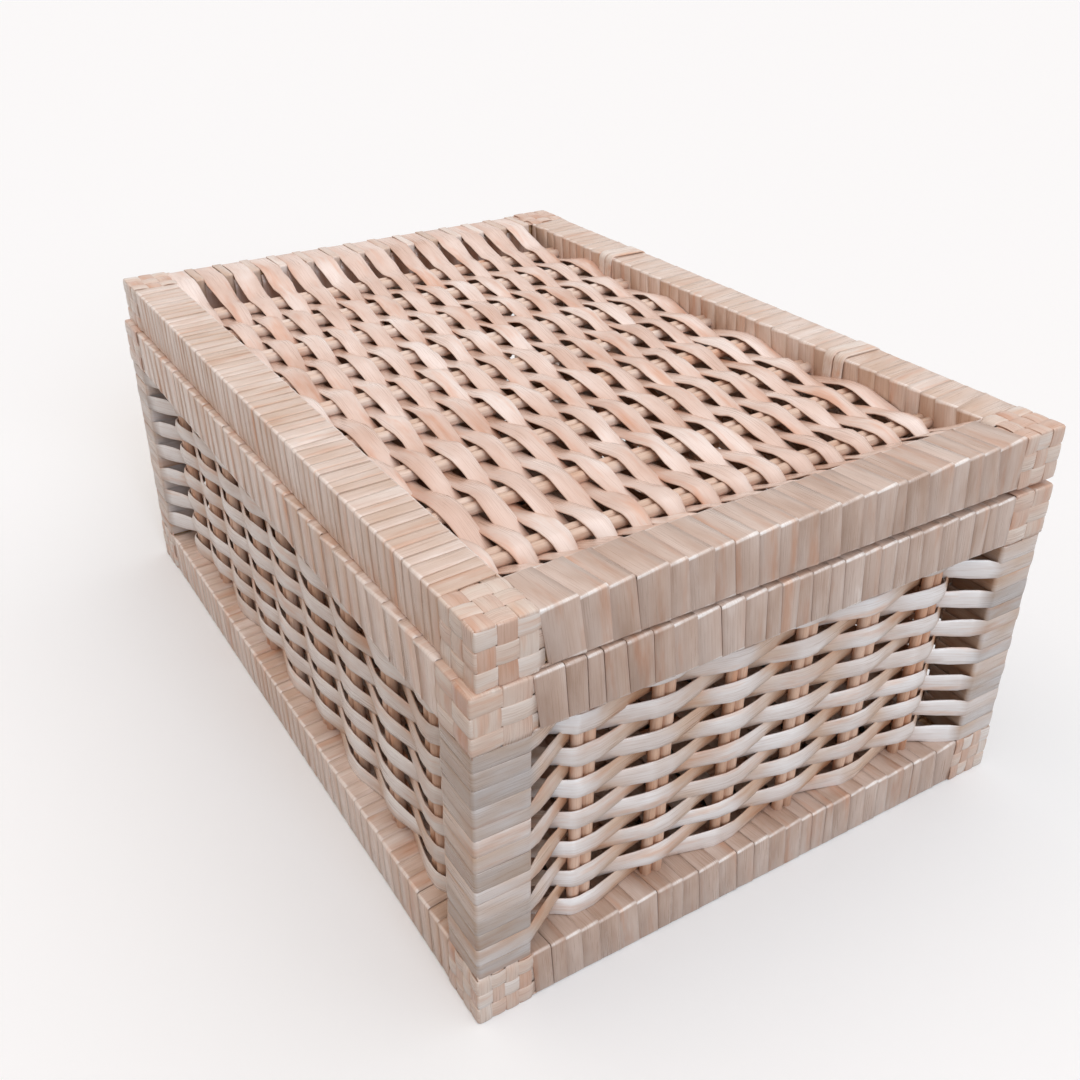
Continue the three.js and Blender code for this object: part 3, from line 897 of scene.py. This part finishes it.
def panel_weavers(frame_name, part):
    """A panel's weavers, dealt out to some pieces so that neighbours are apart."""
    place, half_length, half_depth, _ = FRAMES[frame_name]
    is_lid = frame_name == "lid"
    made = [Strands("%s_weavers_%02d" % (part, i + 1)) for i in range(PANEL_PIECES)]
    for j, y in enumerate(panel_rows(half_depth)[0]):
        strands = made[j % PANEL_PIECES]
        random = strands.random
        over_first = j % 2 == 0
        line = row_line(random, half_length, over_first, is_lid)
        line = line[thin(line, *WEAVER_THINNING)]
        xs, zs = line[:, 0], line[:, 1]
        along = xs / DECIMETRE
        tangents = unit(np.gradient(line, axis=0))
        normals = np.column_stack([-tangents[:, 1], np.zeros(len(line)), tangents[:, 0]])
        path = np.column_stack([xs, y + PANEL_SWAY * drift(random)(along), zs])
        share = np.clip((np.abs(xs) - half_length + RAIL) / PANEL_BLEND, 0, 1)
        crest = np.clip((zs - CORE) / SWING, -1, 1) * (1 - share)
        width = PANEL_WEAVER + CREST * crest**2 + random.uniform(*PANEL_WIDTH_RANGE)
        width = width + PANEL_WIDTH_DRIFT * drift(random, LIVELY_RATES)(along) * (1 - share)
        # Painted light and shade: lighter where the weaver crests over a pair, darker where it dives
        tone = PANEL_TONE + PANEL_CREST_TONE * crest + random.uniform(*PANEL_TONE_RANGE)
        tone = tone + PANEL_TONE_DRIFT * drift(random, CALM_RATES)(along)
        roll = PANEL_ROLL * drift(random, RESTLESS_RATES)(along) * (1 - share)
        bow = BOW * (1 + BOW_DRIFT * drift(random, RESTLESS_RATES)(along)) * (1 - share)
        if is_lid and over_first:
            last = pair_places(half_length, LONG_PAIRS)[-1]
            curl = np.clip((xs - last) / CURL_LENGTH, 0, 1)
            spread = np.clip((-last - xs) / CURL_LENGTH, 0, 1)
            bow = bow + (CURL - bow) * curl
            width = width - CURL_NARROWER * curl + SPREAD * spread
            # A painted highlight where the weaver curls down at the right rail
            tone = tone + CURL_HIGHLIGHT * curl
        strands.add(path, normals, width, WEAVER, tone, roll=roll, arch=bow, place=place)
    return made


# Hinge bindings

BINDING = 0.9  # its thickness
BINDING_STRIP = 5.8  # its width
BINDING_PROUD = 0.3  # from the winding's face to the binding
BINDING_ARRIS = 3.4
BINDING_SPACE = 0.12  # from the middle of the two strips to the edge of either
BINDING_TONE_RANGE = (0.6, 1)


def hinge_binding(name, frame_name, way):
    """Two strips of skein round a back rail, between the second and third pairs of the lid."""
    place, _, half_depth, body = FRAMES[frame_name]
    strands = Strands(name)
    places = pair_places(LID_HALF_LENGTH, LONG_PAIRS)
    centre = way * (places[-2] + places[-3]) / 2
    square = square_loop(CORE + BINDING_PROUD + BINDING / 2, BINDING_ARRIS, per_corner=5)
    for i in (-1, 1):
        at = centre + i * (BINDING_STRIP / 2 + BINDING_SPACE)
        closed_turn(strands, square, at, half_depth, BINDING_STRIP, BINDING, BINDING_TONE_RANGE, place)
    return strands, body


# Materials

BLACK = (0, 0, 0, 1)
WHITE = (1, 1, 1, 1)


def srgb(*colour):
    shares = [c / 255 for c in colour]
    return [s / 12.92 if s <= 0.04045 else ((s + 0.055) / 1.055) ** 2.4 for s in shares] + [1.0]


# What darkens a strip, as colours that multiply its own
STAIN = srgb(242, 194, 156)
SHADE = srgb(196, 158, 128)
DULLNESS = srgb(211, 214, 217)

# How fast a pattern changes along a strip, across it, and from one strip to the next
FIBRE_SCALE = (0.035, 1.5, 1.0)
PATCH_SCALE = (0.04, 0.12, 3.1)
STAIN_SCALE = (0.02, 0.12, 5.3)

TONE_SPAN = 0.66
PATCH_MIDDLE = 0.32
PATCH_SPAN = 0.95
STAIN_STARTS, STAIN_FULL = 0.54, 0.7
STAIN_STRENGTH = 0.6
LINE_FULL, LINE_ENDS = 0.36, 0.54
RIM_STARTS = 0.92
ROUGHNESS_SPAN = 0.6
GLOSS_ROUGHNESS = 0.22
FINE_RELIEF = 0.35
PATCH_RELIEF = 1.5
RELIEF = 0.0004


class Nodes:
    """The nodes of a material or world, made and joined by short calls."""

    def __init__(self, owner):
        owner.use_nodes = True
        self.owner = owner
        self.tree = owner.node_tree

    def make(self, kind, values=None, **settings):
        node = self.tree.nodes.new(kind)
        for key, value in settings.items():
            setattr(node, key, value)
        for key, value in (values or {}).items():
            self.set(node.inputs[key], value)
        return node

    def set(self, socket, value):
        if isinstance(value, bpy.types.NodeSocket):
            self.tree.links.new(value, socket)
        else:
            socket.default_value = value

    def shade(self, **values):
        """Sets the shader's inputs, with _ for a space in their names."""
        for key, value in values.items():
            self.set(self.tree.nodes["Principled BSDF"].inputs[key.replace("_", " ")], value)

    def math(self, operation, *values):
        node = self.make("ShaderNodeMath", operation=operation)
        for socket, value in zip(node.inputs, values):
            self.set(socket, value)
        return node.outputs[0]

    def add(self, first, second):
        return self.math("ADD", first, second)

    def times(self, first, second):
        return self.math("MULTIPLY", first, second)

    def mix(self, share, first, second, blend="MIX"):
        node = self.make("ShaderNodeMix", data_type="RGBA", blend_type=blend)
        self.set(node.inputs["Factor"], share)
        self.set(node.inputs["A"], first)
        self.set(node.inputs["B"], second)
        return node.outputs["Result"]

    def darker(self, colour, by):
        return self.mix(1.0, colour, by, "MULTIPLY")

    def ramp(self, value, stops):
        node = self.make("ShaderNodeValToRGB")
        elements = node.color_ramp.elements
        for i, (place, colour) in enumerate(stops):
            element = elements[i] if i < 2 else elements.new(place)
            element.position = place
            element.color = colour
        self.set(node.inputs["Fac"], value)
        return node.outputs["Color"]

    def noise(self, vector, scale, detail=4.0, roughness=0.55):
        values = {"Vector": vector, "Scale": scale, "Detail": detail, "Roughness": roughness}
        return self.make("ShaderNodeTexNoise", values).outputs["Fac"]

    def split(self, name):
        """The three parts of a vector that the mesh's points carry."""
        vector = self.make("ShaderNodeAttribute", attribute_name=name).outputs["Vector"]
        return self.make("ShaderNodeSeparateXYZ", {"Vector": vector}).outputs

    def bump(self, height, strength, distance):
        values = {"Strength": strength, "Distance": distance, "Height": height}
        return self.make("ShaderNodeBump", values).outputs[0]


def willow(name, colours, streak, edge=0.0, rough=0.36, bump=0.3, gloss=0.0):
    """Willow skein: a colour for each strip, with long fibres, stained patches and a soft sheen."""
    n = Nodes(bpy.data.materials.new(name))
    grain = n.split("grain")
    tone, dull, rim = n.split("tint")

    def field(scale):
        parts = {axis: n.times(grain[axis], by) for axis, by in zip("XYZ", scale)}
        return n.make("ShaderNodeCombineXYZ", parts).outputs[0]

    fibre_place = field(FIBRE_SCALE)
    fibres = n.noise(fibre_place, 1.5, 6.0, 0.6)
    fine = n.noise(fibre_place, 5.0, 3.0)
    patches = n.noise(field(PATCH_SCALE), 1.0, 2.0)
    stains = n.noise(field(STAIN_SCALE), 1.0, 4.0, 0.6)

    patched = n.times(n.math("SUBTRACT", patches, PATCH_MIDDLE), PATCH_SPAN)
    stops = [(i / (len(colours) - 1), srgb(*colour)) for i, colour in enumerate(colours)]
    colour = n.ramp(n.add(n.times(tone, TONE_SPAN), patched), stops)
    stained = n.ramp(stains, [(STAIN_STARTS, BLACK), (STAIN_FULL, WHITE)])
    colour = n.mix(n.times(stained, STAIN_STRENGTH), colour, n.darker(colour, STAIN))
    dark = n.darker(colour, SHADE)
    lines = n.ramp(fibres, [(LINE_FULL, WHITE), (LINE_ENDS, BLACK)])
    colour = n.mix(n.times(lines, streak), colour, dark)
    rims = n.ramp(rim, [(RIM_STARTS, BLACK), (1.0, WHITE)])
    colour = n.mix(n.times(rims, edge), colour, dark)
    colour = n.mix(dull, colour, n.darker(colour, DULLNESS))

    unevenness = n.times(n.math("SUBTRACT", n.add(fibres, stains), 1.0), ROUGHNESS_SPAN)
    height = n.add(n.add(fibres, n.times(fine, FINE_RELIEF)), n.times(patches, PATCH_RELIEF))
    n.shade(Base_Color=colour, Roughness=n.add(unevenness, rough), Normal=n.bump(height, bump, RELIEF))
    n.shade(Coat_Weight=gloss, Coat_Roughness=GLOSS_ROUGHNESS)
    return n.owner


def batten_wood():
    """Sawn wood, which shows only through cracks between the turns of skein."""
    n = Nodes(bpy.data.materials.new("batten_wood"))
    place = n.make("ShaderNodeTexCoord").outputs["Object"]
    values = {"Vector": place, "Scale": 90.0, "Distortion": 6.0, "Detail": 3.0, "Detail Scale": 2.0}
    rings = n.make("ShaderNodeTexWave", values).outputs["Fac"]
    fibres = n.noise(place, 420.0, 5.0)
    pattern = n.add(n.times(rings, 0.5), n.times(fibres, 0.5))
    colour = n.ramp(pattern, [(0.2, srgb(158, 118, 82)), (0.8, srgb(208, 172, 132))])
    rough = n.add(n.times(fibres, 0.3), 0.5)
    n.shade(Base_Color=colour, Roughness=rough, Normal=n.bump(pattern, 0.4, 0.0003))
    return n.owner


SKEIN_LOOK = willow(
    "wound_skein_look", [(186, 146, 116), (206, 176, 154), (221, 198, 183), (242, 228, 219)],
    streak=0.2, edge=0.06, bump=0.25, gloss=0.5,
)
# A cooler copy of the wound skein's look for the rails on the right; its lightest stop is raised so
# that the painted highlight on the rails' edges reaches near white
COOL_SKEIN_LOOK = willow(
    "cool_wound_skein_look", [(170, 138, 117), (193, 166, 149), (210, 189, 176), (248, 240, 234)],
    streak=0.2, edge=0.06, bump=0.25, gloss=0.5,
)
PLAIT_LOOK = willow(
    "plaited_skein_look", [(196, 150, 122), (212, 178, 158), (224, 206, 192), (234, 226, 220)],
    streak=0.25, edge=0.2, gloss=0.35,
)
WALL_LOOK = willow(
    "wall_weaver_look", [(192, 148, 116), (210, 182, 160), (226, 214, 207), (248, 244, 242)],
    streak=0.22, edge=0.12, gloss=0.4,
)
LID_LOOK = willow(
    "lid_weaver_look", [(198, 156, 132), (216, 183, 165), (229, 203, 189), (243, 226, 217)],
    streak=0.13, edge=0.15, rough=0.34, bump=0.12, gloss=0.4,
)
FLOOR_LOOK = willow(
    "floor_weaver_look", [(186, 150, 124), (204, 178, 158), (220, 202, 188), (234, 222, 212)],
    streak=0.18, edge=0.15, rough=0.38, bump=0.2,
)
STICK_LOOK = willow(
    "stick_look", [(208, 162, 132), (227, 189, 162), (240, 210, 190)],
    streak=0.3, rough=0.42,
)
LID_STICK_LOOK = willow(
    "lid_stick_look", [(208, 174, 148), (226, 200, 182), (238, 222, 210)],
    streak=0.3, rough=0.42,
)
BINDING_LOOK = willow(
    "hinge_binding_look", [(214, 188, 166), (228, 210, 196), (236, 226, 218)],
    streak=0.3, edge=0.2, rough=0.34,
)
BATTEN_LOOK = batten_wood()


# The pieces


def part_name(frame_name, place):
    """What the CAD nodes call a side or corner of a frame of rails."""
    return "lid_" + place if frame_name == "lid" else place + "_" + frame_name


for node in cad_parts.values():
    for held in node.material_slots:
        held.material = BATTEN_LOOK

for side, index in SIDES.items():
    for frame_name in FRAMES:
        place, half, face, body = rail_place(frame_name, side)
        name = part_name(frame_name, side)
        if name == "lid_left":
            strands = rings_between_weavers(place, face)
        else:
            pitch, cracks = STRIP_WIDTHS[frame_name][index], CRACK_SHARES[frame_name][index]
            strands = wind(name + "_skein", place, half, face, pitch, RAIL_TONES[index], cracks)
        look = COOL_SKEIN_LOOK if side == "right" else SKEIN_LOOK
        winding = name + ("_winding_and_stakes" if frame_name == "top" else "_winding")
        strands.piece(body, look, "wound_skein", [winding])
    stakes(side).piece("basket", STICK_LOOK, "stick_willow")

for index, corner in enumerate(CORNERS):
    for frame_name in FRAMES:
        name = part_name(frame_name, corner)
        strands, body = plait(name + "_bands", frame_name, index)
        strands.piece(body, PLAIT_LOOK, "plaited_skein", [name + "_plait"])
    post_wraps(corner + "_post_wraps", index).piece("basket", WALL_LOOK, "weaver_willow")

for hand, way in (("left", -1), ("right", 1)):
    for part, frame_name in (("body", "top"), ("lid", "lid")):
        name = "%s_%s_hinge" % (part, hand)
        strands, body = hinge_binding(name + "_skein", frame_name, way)
        strands.piece(body, BINDING_LOOK, "hinge_skein", [name + "_binding"])

for row in range(WALL_ROWS):
    replaced = [side + "_weavers" for side in SIDES] if row == 0 else []
    wall_ring(row).piece("basket", WALL_LOOK, "weaver_willow", replaced)

for frame_name, part, stick_look, weaver_look in (
    ("bottom", "floor", STICK_LOOK, FLOOR_LOOK),
    ("lid", "lid", LID_STICK_LOOK, LID_LOOK),
):
    strands, body = panel_sticks(part + "_sticks", frame_name)
    strands.piece(body, stick_look, "stick_willow", [part + "_weave"])
    for strands in panel_weavers(frame_name, part):
        strands.piece(body, weaver_look, "weaver_willow")


# Floor, light and camera

FLOOR_REACH = 30.0
FLOOR_LIT = (0.36, 0.31, 0.27, 1)
FLOOR_SEEN = (0.97, 0.99, 1.0, 1)
SKY_COLOUR = (1.0, 0.88, 0.8, 1)
SKY_STRENGTH = 0.26

# Each sun: where it stands, its softness in degrees, its colour and its strength
SUNS = {
    "window": ((0.88, -0.08, 0.44), 30, (0.86, 1.0, 1.16), 0.38 * math.pi),
    "room": ((-0.5, -0.6, 0.6), 60, (1.0, 0.75, 0.57), 0.12 * math.pi),
    "ceiling": ((0.1, 0.1, 0.99), 90, (1.02, 0.99, 0.98), 0.51 * math.pi),
}

# The camera's place, what it looks at, its roll in degrees, and its lens
EYE = Vector((443.8, -266.2, 367.2))
TARGET = Vector((-1523.5, 967.0, -983.4))
ROLL = 0.436
LENS = 37.98
SENSOR = 36


def seen_directly(n):
    """1 for what the camera sees, also in a gloss or through glass, and 0 for light that lands."""
    rays = n.make("ShaderNodeLightPath").outputs
    total = rays["Is Camera Ray"]
    for name in ("Is Glossy Ray", "Is Transmission Ray"):
        total = n.math("MAXIMUM", total, rays[name])
    return total


mesh = bpy.data.meshes.new("stage_floor")
spots = [(x * FLOOR_REACH, y * FLOOR_REACH, 0) for x, y in CORNER_SIGNS]
mesh.from_pydata(spots, [], [(0, 1, 2, 3)])
n = Nodes(bpy.data.materials.new("stage_floor_look"))
n.shade(Base_Color=n.mix(seen_directly(n), FLOOR_LIT, FLOOR_SEEN))
n.shade(Roughness=1.0, Specular_IOR_Level=0.0)
mesh.materials.append(n.owner)
floor = put_in_scene("stage_floor", mesh)

for name, (towards, softness, colour, strength) in SUNS.items():
    sun = put_in_scene(name, bpy.data.lights.new(name, "SUN"))
    sun.data.angle = math.radians(softness)
    sun.data.energy = strength
    sun.data.color = colour
    sun.rotation_euler = Vector(towards).to_track_quat("Z", "Y").to_euler()

# A soft warm sky for the object, and a white one behind it
n = Nodes(bpy.data.worlds.new("studio"))
seen = n.tree.nodes["Background"]
n.set(seen.inputs["Color"], WHITE)
soft = n.make("ShaderNodeBackground", {"Color": SKY_COLOUR, "Strength": SKY_STRENGTH})
mix = n.make("ShaderNodeMixShader")
for socket, value in zip(mix.inputs, (seen_directly(n), soft.outputs[0], seen.outputs[0])):
    n.set(socket, value)
n.set(n.tree.nodes["World Output"].inputs[0], mix.outputs[0])
bpy.context.scene.world = n.owner

camera = put_in_scene("camera", bpy.data.cameras.new("camera"))
camera.data.lens = LENS
camera.data.sensor_width = SENSOR
aim = (EYE - TARGET).to_track_quat("Z", "Y").to_matrix()
roll = Matrix.Rotation(math.radians(ROLL), 3, "Z")
camera.matrix_world = Matrix.Translation(EYE * MM) @ (aim @ roll).to_4x4()
bpy.context.scene.camera = camera
bpy.context.scene.view_settings.view_transform = "Standard"
